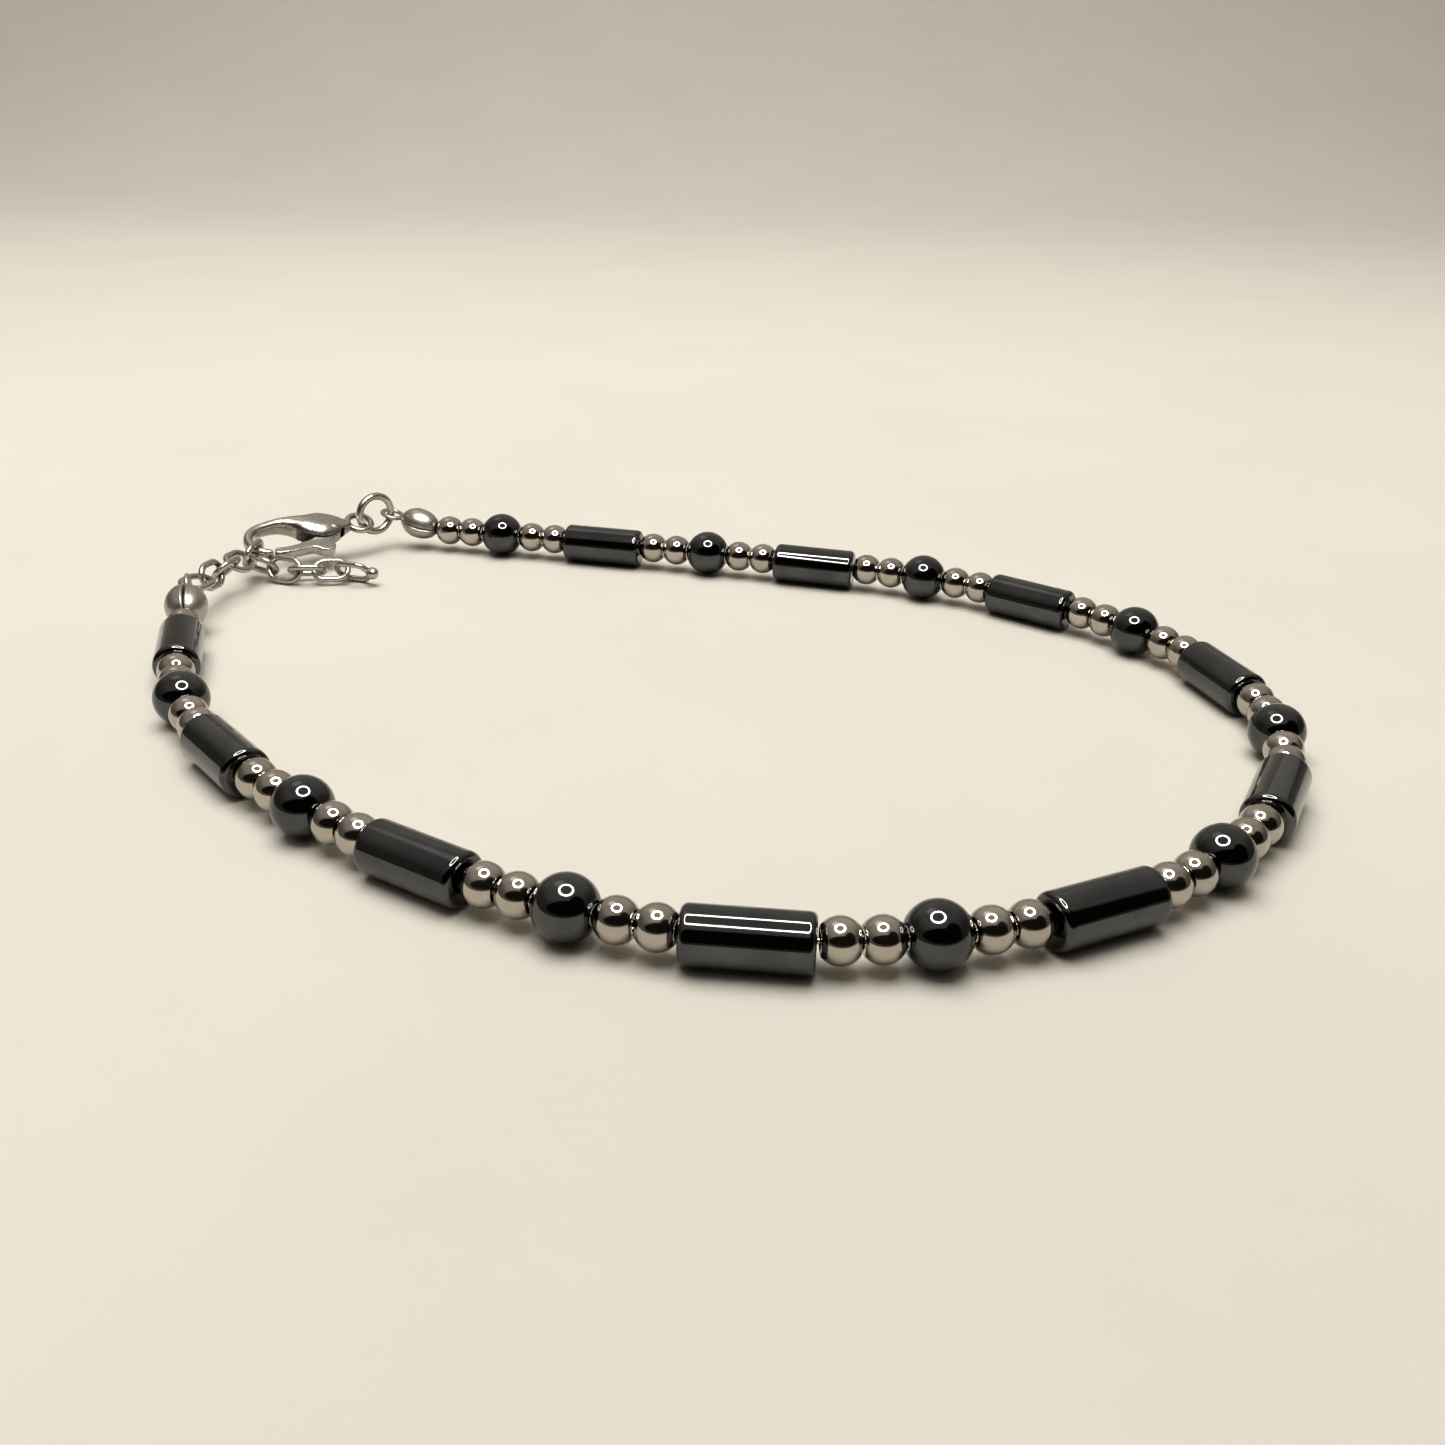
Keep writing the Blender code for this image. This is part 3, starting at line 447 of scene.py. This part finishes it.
def add_beads(course, beads):
    """The dark beads. The CAD's have flat facets, and these are round, halfway between facet and corner."""
    number = {"tube": 0, "round": 0}
    diameters = {"tube": TUBE_DIAMETER, "round": ROUND_DIAMETER}
    radii = {kind: size / 4.0 * (1.0 + CAD_FACET) for kind, size in diameters.items()}
    outlines = {
        "tube": tube_outline(radii["tube"]),
        "round": ball_outline(radii["round"], ROUND_LENGTH, BEAD_HOLE / 2.0, 36),
    }
    for kind, start, end in beads:
        if kind == "spacer":
            continue
        number[kind] += 1
        node = f"{kind}_bead_{number[kind]:02d}"
        place = aimed(course.at(start, radii[kind]), course.at(end, radii[kind]))
        shape = Shape(node + "_stone")
        shape.lathe(outlines[kind], BEAD_SIDES, Matrix.Identity(4))
        thing = shape.build("anklet", STONE, [node], 75.0)
        thing.matrix_world = place


def string_ends(course):
    """The string's two ends, each with the direction in which its calotte points."""
    short = CALOTTE_LENGTH / 4.0
    rise = Vector((0.0, 0.0, math.sin(CALOTTE_RISE)))
    found = []
    for end, inner in ((0.0, short), (course.length, course.length - short)):
        point = course.at(end, STRING_HEIGHT)
        along = (point - course.at(inner, STRING_HEIGHT)).normalized()
        found += [point, along * math.cos(CALOTTE_RISE) + rise]
    return found


def add_string(course, beads):
    """Spacers, the wire between all beads and the crimps in the calottes, in one piece."""
    shape = Shape("beading_wire_and_spacers")
    outline = ball_outline(SPACER_DIAMETER / 2.0, SPACER_LENGTH, SPACER_HOLE / 2.0, 24)
    for kind, a, b in beads:
        if kind == "spacer":
            place = aimed(course.at(a, STRING_HEIGHT), course.at(b, STRING_HEIGHT))
            shape.lathe(outline, SPACER_SIDES, place)
    start, start_out, end, end_out = string_ends(course)
    near = (CALOTTE_LENGTH - CRIMP_LENGTH) / 2.0
    lengths = np.linspace(0.0, course.length, STRING_SAMPLES)
    middle = [course.at(length, STRING_HEIGHT) for length in lengths]
    points = [start + start_out * near] + middle + [end + end_out * near]
    shape.wire(points, [WIRE / 2.0] * len(points), 10)
    for point, out in ((start, start_out), (end, end_out)):
        crimp = [point + out * (near + CRIMP_LENGTH * s) for s in (0.0, 0.12, 0.5, 0.88, 1.0)]
        shape.wire(crimp, [CRIMP_DIAMETER / 2.0 * s for s in (0.8, 1.0, 0.92, 1.0, 0.8)], 24)
    shape.build("anklet", SILVER, ["bead_string"], 75.0)


# Findings

def ring_path(length, width, count):
    """Points of a ring in local XY: two half circles joined by straight sides."""
    radius = width / 2.0
    shift = max(length - width, 0.0) / 2.0
    points = []
    for side in (1.0, -1.0):
        for i in range(count // 2):
            turn = math.pi * (i + 0.5) / (count // 2) - math.pi / 2.0
            points.append((side * (shift + radius * math.cos(turn)), side * radius * math.sin(turn), 0.0))
    return points


def add_ring(shape, length, width, wire, place, count=64, sides=20):
    points = ring_path(length, width, count)
    shape.wire(points, [wire / 2.0] * len(points), sides, place, closed=True)


def node_frame(name, behind=None):
    """The turn into a flat ring's own directions, and the ring's box there, from the CAD node's shape."""
    points = np.array([v.co for v in bpy.data.objects[name].data.vertices])
    middle = points.mean(axis=0)
    values, axes = np.linalg.eigh(np.cov((points - middle).T))
    along, width, normal = (Vector(axes[:, k]) for k in (2, 1, 0))
    if behind is not None and along.dot(Vector(middle) - behind) < 0.0:
        along = -along
    normal = along.cross(width)
    turn = np.array([along, width, normal])
    local = points @ turn.T
    low, high = local.min(axis=0), local.max(axis=0)
    return turn, low, high


def ring_place(turn, middle):
    return Matrix.Translation(Vector(turn.T @ middle)) @ Matrix(turn.T).to_4x4()


def add_links():
    """The chain's oval links, where the CAD's links are, and the last one with its drop."""
    for number in range(1, 10):
        name = f"chain_link_{number:02d}"
        turn, low, high = node_frame(name)
        shape = Shape(name + "_wire")
        add_ring(shape, LINK_LENGTH, LINK_WIDTH, LINK_WIRE, ring_place(turn, (low + high) / 2.0), 56)
        shape.build("anklet", STEEL, [name])
    before = sum((Vector(c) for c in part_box("chain_link_09")), Vector()) / 2.0
    turn, low, high = node_frame("chain_end", before)
    middle = (low + high) / 2.0
    middle[0] = low[0] + (LINK_LENGTH + LINK_WIRE) / 2.0
    place = ring_place(turn, middle)
    shape = Shape("chain_end_wire")
    add_ring(shape, LINK_LENGTH, LINK_WIDTH, LINK_WIRE, place, 56)
    x = LINK_LENGTH / 2.0 + DROP_DIAMETER / 3.0
    radius = DROP_DIAMETER / 2.0
    turns = [math.pi * i / 16.0 for i in range(17)]
    ball = [(x - radius * math.cos(t), radius * math.sin(t) + POLE) for t in turns]
    shape.lathe(ball, 28, place, close_along=False)
    shape.build("anklet", STEEL, ["chain_end"])


def add_jump_ring():
    turn, low, high = node_frame("jump_ring")
    shape = Shape("jump_ring_wire")
    add_ring(shape, JUMP_RING, JUMP_RING, JUMP_WIRE, ring_place(turn, (low + high) / 2.0), 80, 28)
    shape.build("anklet", STEEL, ["jump_ring"])


def add_calotte(node, hole, outward, seam_turn, loop_roll, slim, point):
    """A clamshell tip: two cups that meet in a seam, hinged at the end that carries the loop."""
    place = aimed(hole, hole + outward * CALOTTE_LENGTH)
    place.translation = hole
    shape = Shape(node + "_shell")
    outer, rim = CALOTTE_DIAMETER / 2.0 * slim, CALOTTE_HOLE / 2.0
    back = CALOTTE_LENGTH * 0.985

    def profile(radius, front, end, first):
        """An egg's outline from the hole's rim to the loop's end."""
        half = (end - front) / 2.0
        points = []
        for i in range(25):
            turn = first + (math.pi - first) * i / 24.0
            power = 0.86 + point * max(0.0, -math.cos(turn))
            swell = math.sin(turn) ** power if 0.0 < turn < math.pi - 1e-6 else 0.0
            points.append((front + half - half * math.cos(turn), radius * swell + POLE))
        return points

    skin = profile(outer, 0.0, back, math.asin(rim / outer))
    inner = outer - CALOTTE_WALL
    lining = profile(inner, CALOTTE_WALL, back - CALOTTE_WALL, math.asin(rim / inner))

    def seam(turn, x):
        """The groove between the two cups, with a slight lip on each side."""
        offset = math.sin(turn - seam_turn)
        open_end = max(0.0, 1.0 - x / back)
        groove = (0.10 + 0.16 * open_end) * math.exp(-(offset / 0.05) ** 2)
        lip = 0.035 * math.exp(-((abs(offset) - 0.15) / 0.06) ** 2)
        return 1.0 + lip - groove

    shape.lathe(lining[::-1] + skin, 128, place, seam, close_along=False)
    reach = CALOTTE_LENGTH + (CALOTTE_LOOP + CALOTTE_LOOP_WIRE) / 2.0 - CALOTTE_LOOP_SEAT
    loop_place = place @ Matrix.Translation((reach, 0.0, 0.0)) @ Matrix.Rotation(loop_roll, 4, "X")
    add_ring(shape, CALOTTE_LOOP, CALOTTE_LOOP, CALOTTE_LOOP_WIRE, loop_place, 48, 18)
    shape.build("anklet", SATIN, [node])


def clasp_frame():
    """The clasp's frame from the CAD's hinge, whose axis is its local Z, and the rivet's place in it."""
    joint = frame["record"]["behaviour"]["joints"][0]
    axis = Vector(joint["axis"]).normalized()
    lean = Matrix.Rotation(-CLASP_RISE, 4, "Y") @ Matrix.Rotation(CLASP_TILT, 4, "X")
    raised = lean @ Vector((0.0, 0.0, 1.0))
    heading = math.atan2(axis.y, axis.x) - math.atan2(raised.y, raised.x)
    turn = Matrix.Rotation(heading, 4, "Z") @ lean
    pivot = Vector((RIVET_PLACE[0] * CLASP_LENGTH, RIVET_PLACE[1] * CLASP_WIDTH, 0.0))
    return Matrix.Translation(Vector(joint["pos_m"]) - turn @ pivot) @ turn, pivot


def fix_modifiers(thing):
    """Fixes the result of the piece's modifiers in its mesh."""
    bpy.context.view_layer.update()
    graph = bpy.context.evaluated_depsgraph_get()
    mesh = bpy.data.meshes.new_from_object(thing.evaluated_get(graph))
    thing.modifiers.clear()
    thing.data = mesh


def cut(thing, tool):
    """Takes the tool's solid out of the piece, and removes the tool."""
    modifier = thing.modifiers.new("cut", "BOOLEAN")
    modifier.operation = "DIFFERENCE"
    modifier.object = tool
    modifier.solver = "EXACT"
    fix_modifiers(thing)
    bpy.data.objects.remove(tool)


def soften(thing, width, segments):
    """Rounds the sharp edges."""
    modifier = thing.modifiers.new("soften", "BEVEL")
    modifier.width = width
    modifier.segments = segments
    modifier.limit_method = "ANGLE"
    modifier.angle_limit = math.radians(50.0)
    modifier.use_clamp_overlap = True
    fix_modifiers(thing)


def claw_rings():
    """Rounded sections along the claw's curve, closed by a blunt tip."""
    scale = np.array((CLASP_LENGTH, CLASP_WIDTH, CLASP_WIDTH, CLASP_THICKNESS))
    sections = smooth_curve(np.array(CLAW_SECTIONS) * scale, 150)
    heading = np.gradient(sections[:, :2], axis=0)
    heading /= np.linalg.norm(heading, axis=1)[:, None]
    sides = 44
    rings = []
    for (x, y, wide, thick), (cx, cy) in zip(sections, heading):
        ring = []
        for i in range(sides):
            turn = 2.0 * math.pi * i / sides
            c, s = math.cos(turn), math.sin(turn)
            out = wide / 2.0 * math.copysign(abs(c) ** CLAW_SQUARENESS, c)
            lift = thick / 2.0 * math.copysign(abs(s) ** CLAW_SQUARENESS, s) * 0.985
            ring.append(Vector((x - cy * out, y + cx * out, lift)))
        rings.append(ring)
    tip = rings[-1]
    centre = sum(tip, Vector()) / len(tip)
    ahead = Vector((*heading[-1], 0.0)) * sections[-1][2] / 2.0
    for share in (0.4, 0.75, 0.95):
        narrow = math.sqrt(1.0 - share ** 2)
        rings.append([centre + (p - centre) * narrow + ahead * share * 0.6 for p in tip])
    return rings


def add_clasp_body(place, pivot):
    """The claw with the lever's slot cut out, the tail eye, and the rivet with its two domed heads."""
    shape = Shape("claw")
    shape.grid(claw_rings(), True, caps=True)
    claw = shape.plain()
    half = LEVER_THICKNESS / 2.0 + LEVER_SIDE_GAP
    low = Vector((SLOT_FRONT * CLASP_LENGTH, -CLASP_WIDTH, -half))
    high = Vector((pivot.x + LEVER_EYE / 2.0 + SLOT_END_GAP, SLOT_BACK_EDGE * CLASP_WIDTH, half))
    block = Shape("slot")
    corners = ((low.y, low.z), (high.y, low.z), (high.y, high.z), (low.y, high.z))
    block.grid([[(x, y, z) for y, z in corners] for x in (low.x, high.x)], True, caps=True)
    cut(claw, block.plain())
    soften(claw, CLAW_EDGE, 2)
    extras = Shape("clasp_extras")
    eye = Matrix.Translation((CLASP_LENGTH - (CLASP_EYE + CLASP_EYE_WIRE) / 2.0, 0.0, 0.0))
    add_ring(extras, CLASP_EYE, CLASP_EYE, CLASP_EYE_WIRE, eye, 56, 24)
    upright = Matrix.Translation(pivot) @ Matrix.Rotation(-math.pi / 2.0, 4, "Y")
    pin, radius = half + 0.2 * MM, RIVET_DIAMETER / 2.0
    outline = [(-pin, POLE), (-pin, radius), (pin, radius), (pin, POLE)]
    extras.lathe(outline, 24, upright, close_along=False)
    for side in (1.0, -1.0):
        head = [(side * RIVET_HEAD_SEAT, RIVET_HEAD), (side * RIVET_HEAD_TOP, RIVET_HEAD)]
        for step in range(1, 7):
            turn = step * math.pi / 12.0
            rise = RIVET_HEAD_TOP + RIVET_DOME * math.sin(turn)
            head.append((side * rise, RIVET_HEAD * math.cos(turn) + POLE))
        extras.lathe(head, 28, upright, close_along=False)
    more = extras.plain()
    shape = bmesh.new()
    shape.from_mesh(claw.data)
    shape.from_mesh(more.data)
    shape.to_mesh(claw.data)
    shape.free()
    bpy.data.objects.remove(more)
    claw.name = "clasp_claw"
    claw.matrix_world = place
    finished(claw, "anklet", STEEL, ["clasp_body"], 35.0)


def lever_outline(pivot):
    """The lever's outline round its pivot, with eased corners."""

    def placed(shares):
        return [Vector((a * CLASP_LENGTH - pivot.x, b * CLASP_WIDTH - pivot.y)) for a, b in shares]

    radius = LEVER_EYE / 2.0
    turns = [math.radians(degrees) for degrees in range(-75, 125, 20)]
    eye = [Vector((radius * math.cos(t), radius * math.sin(t))) for t in turns]
    outline = placed(LEVER_OUTER) + eye + placed(LEVER_INNER)
    eased = []
    count = len(outline)
    for i, p in enumerate(outline):
        before, after = outline[i - 1], outline[(i + 1) % count]
        size = min((p - before).length, (after - p).length) * 0.35
        a = p + (before - p).normalized() * size
        b = p + (after - p).normalized() * size
        for t in (0.0, 0.33, 0.67, 1.0):
            eased.append(a * (1.0 - t) ** 2 + p * 2.0 * t * (1.0 - t) + b * t ** 2)
    return eased


def inward_normals(outline):
    normals = []
    for i in range(len(outline)):
        along = (outline[(i + 1) % len(outline)] - outline[i - 1]).normalized()
        normals.append(Vector((along.y, -along.x)))
    area = sum(outline[i - 1].cross(p) for i, p in enumerate(outline))
    return [-v for v in normals] if area > 0.0 else normals


def add_lever(place, pivot):
    """The lever with its thumb knob: a plate with rounded edges and a hole for the rivet."""
    outline = lever_outline(pivot)
    inward = inward_normals(outline)
    half = LEVER_THICKNESS / 2.0
    rows = []
    for side, angles in ((-1.0, (-90, -68, -45, -22, 0)), (1.0, (0, 22, 45, 68, 90))):
        for degrees in angles:
            turn = math.radians(degrees)
            level = LEVER_EDGE * math.sin(turn) + (half - LEVER_EDGE) * side
            inset = LEVER_EDGE * (1.0 - math.cos(turn))
            rows.append([(p.x + v.x * inset, p.y + v.y * inset, level) for p, v in zip(outline, inward)])
    shape = Shape("clasp_lever_plate")
    shape.grid(rows, True, caps=True)
    lever = shape.plain()
    bore = Shape("bore")
    hole = RIVET_DIAMETER / 2.0 + RIVET_GAP
    turns = [math.pi * i / 16.0 for i in range(32)]
    for_rivet = [(hole * math.cos(t), hole * math.sin(t)) for t in turns]
    bore.grid([[(x, y, z) for x, y in for_rivet] for z in (-2.0 * half, 2.0 * half)], True, caps=True)
    cut(lever, bore.plain())
    lever.matrix_world = place @ Matrix.Translation(pivot)
    finished(lever, "lever", STEEL, ["clasp_lever"], 35.0)


# Surroundings

def add_camera():
    """The photo's view: looking down along +Y, rolled a little."""
    forward = Vector((0.0, math.cos(CAMERA_PITCH), -math.sin(CAMERA_PITCH)))
    right = Vector((1.0, 0.0, 0.0))
    up = right.cross(forward)
    tilted_right = right * math.cos(CAMERA_ROLL) + up * math.sin(CAMERA_ROLL)
    tilted_up = up * math.cos(CAMERA_ROLL) - right * math.sin(CAMERA_ROLL)
    data = bpy.data.cameras.new("camera")
    data.sensor_width = SENSOR_WIDTH
    data.lens = SENSOR_WIDTH * FOCAL_SHARE
    data.clip_start = 0.002
    data.clip_end = 20.0
    data.dof.use_dof = False
    camera = bpy.data.objects.new("camera", data)
    turn = Matrix((tilted_right, tilted_up, -forward)).transposed().to_4x4()
    camera.matrix_world = Matrix.Translation(CAMERA_PLACE) @ turn
    scene.collection.objects.link(camera)
    scene.camera = camera


def add_floor():
    """A plain pale sheet that lies flat and curves up far behind."""
    material = bpy.data.materials.new("floor")
    material.use_nodes = True
    tree = material.node_tree
    shader = tree.nodes["Principled BSDF"]
    place = tree.nodes.new("ShaderNodeTexCoord").outputs["Object"]
    tone = spread(tree, noise(tree, place, 30.0, 4.0), 0.0, 1.0)
    tree.links.new(mixed(tree, tone, *FLOOR_TONES), shader.inputs["Base Color"])
    shader.inputs["Roughness"].default_value = 0.9
    shader.inputs["Specular IOR Level"].default_value = 0.15
    shape = Shape("floor")
    rows = [(FLOOR_FRONT, 0.0), (-0.3, 0.0), (0.0, 0.0), (FLOOR_BACK, 0.0)]
    for degrees in range(6, 67, 6):
        turn = math.radians(degrees)
        rows.append((FLOOR_BACK + FLOOR_BEND * math.sin(turn), FLOOR_BEND - FLOOR_BEND * math.cos(turn)))
    last = rows[-1]
    rows.append((last[0] + 0.05, last[1] + 0.11))
    shape.grid([[(x, y, z) for x in (-FLOOR_HALF_WIDTH, FLOOR_HALF_WIDTH)] for y, z in rows], False)
    floor = shape.plain()
    floor.data.shade_smooth()
    floor.data.materials.append(material)
    if floor.data.polygons[0].normal.z < 0.0:
        floor.data.flip_normals()


def add_ring_light():
    """A ring lamp over the near side, which every bead shows as a small ring. It doesn't light the floor."""
    material = bpy.data.materials.new("ring_light")
    material.use_nodes = True
    tree = material.node_tree
    tree.nodes.clear()
    glow = tree.nodes.new("ShaderNodeEmission")
    glow.inputs["Color"].default_value = (1.0, 0.965, 0.91, 1.0)
    glow.inputs["Strength"].default_value = RING_LAMP_STRENGTH
    out = tree.nodes.new("ShaderNodeOutputMaterial")
    tree.links.new(glow.outputs["Emission"], out.inputs["Surface"])
    shape = Shape("ring_light")
    points = ring_path(RING_LAMP, RING_LAMP, 96)
    shape.wire(points, [RING_LAMP_WIRE] * len(points), 16, Matrix.Translation(RING_LAMP_PLACE), closed=True)
    lamp = shape.plain()
    lamp.data.materials.append(material)
    lamp.visible_diffuse = False


def set_world():
    """A dim studio that the beads mirror, dark on the viewer's side, with a plain background for the view."""
    world = bpy.data.worlds.new("studio")
    scene.world = world
    world.use_nodes = True
    tree = world.node_tree
    tree.nodes.clear()
    direction = tree.nodes.new("ShaderNodeTexCoord").outputs["Generated"]

    def near(aim, inner, outer, narrow):
        """1 within the inner angle of a direction, 0 past the outer one. Narrow under 1 widens it across."""
        squeeze = tree.nodes.new("ShaderNodeVectorMath")
        squeeze.operation = "MULTIPLY"
        squeeze.inputs[1].default_value = (narrow, 1.0, 1.0)
        tree.links.new(direction, squeeze.inputs[0])
        unit = tree.nodes.new("ShaderNodeVectorMath")
        unit.operation = "NORMALIZE"
        tree.links.new(squeeze.outputs["Vector"], unit.inputs[0])
        dot = tree.nodes.new("ShaderNodeVectorMath")
        dot.operation = "DOT_PRODUCT"
        tree.links.new(unit.outputs["Vector"], dot.inputs[0])
        dot.inputs[1].default_value = Vector(aim).normalized()
        node = tree.nodes.new("ShaderNodeMapRange")
        node.interpolation_type = "SMOOTHSTEP"
        node.inputs["From Min"].default_value = math.cos(math.radians(outer))
        node.inputs["From Max"].default_value = math.cos(math.radians(inner))
        tree.links.new(dot.outputs["Value"], node.inputs["Value"])
        return node.outputs["Result"]

    def blend(factor, first, second):
        node = tree.nodes.new("ShaderNodeMix")
        node.data_type = "RGBA"
        tree.links.new(factor, node.inputs["Factor"])
        for name, value in (("A", first), ("B", second)):
            if isinstance(value, tuple):
                node.inputs[name].default_value = (*value, 1.0)
            else:
                tree.links.new(value, node.inputs[name])
        return node.outputs["Result"]

    sky = SKY_BASE
    for aim, inner, outer, narrow, tone in SKY_PATCHES:
        sky = blend(near(aim, inner, outer, narrow), sky, tone)
    seen = tree.nodes.new("ShaderNodeLightPath").outputs["Is Camera Ray"]
    sky = blend(seen, sky, BACKGROUND_TONE)
    glow = tree.nodes.new("ShaderNodeBackground")
    glow.inputs["Strength"].default_value = 1.0
    tree.links.new(sky, glow.inputs["Color"])
    out = tree.nodes.new("ShaderNodeOutputWorld")
    tree.links.new(glow.outputs["Background"], out.inputs["Surface"])


def add_soft_light(name, place, target, size, energy):
    """A broad lamp that beads don't mirror, for the floor's brightness and its soft shadows."""
    data = bpy.data.lights.new(name, "AREA")
    data.shape = "DISK"
    data.size = size
    data.energy = energy
    data.color = (1.0, 0.97, 0.93)
    lamp = bpy.data.objects.new(name, data)
    lamp.location = place
    lamp.rotation_euler = (Vector(target) - Vector(place)).to_track_quat("-Z", "Y").to_euler()
    lamp.visible_glossy = False
    scene.collection.objects.link(lamp)


scene.view_settings.view_transform = "Standard"
add_camera()
strung, string_length = strung_beads()
course = fitted_course(strung, string_length)
add_beads(course, strung)
add_string(course, strung)
left, left_out, right, right_out = string_ends(course)
quarter = math.pi / 2.0
add_calotte("calotte_left", left, left_out, seam_turn=quarter, loop_roll=quarter, slim=0.94, point=0.0)
add_calotte("calotte_right", right, right_out, seam_turn=0.0, loop_roll=0.0, slim=0.79, point=0.9)
add_links()
add_jump_ring()
claw_place, rivet = clasp_frame()
add_clasp_body(claw_place, rivet)
add_lever(claw_place, rivet)
add_floor()
add_ring_light()
add_soft_light("overhead", place=(-0.05, 0.03, 0.5), target=(0.0, 0.0, 0.0), size=0.5, energy=3.1)
add_soft_light("backdrop", place=(0.0, 0.15, 0.6), target=(0.0, 0.55, 0.1), size=0.4, energy=0.35)
set_world()
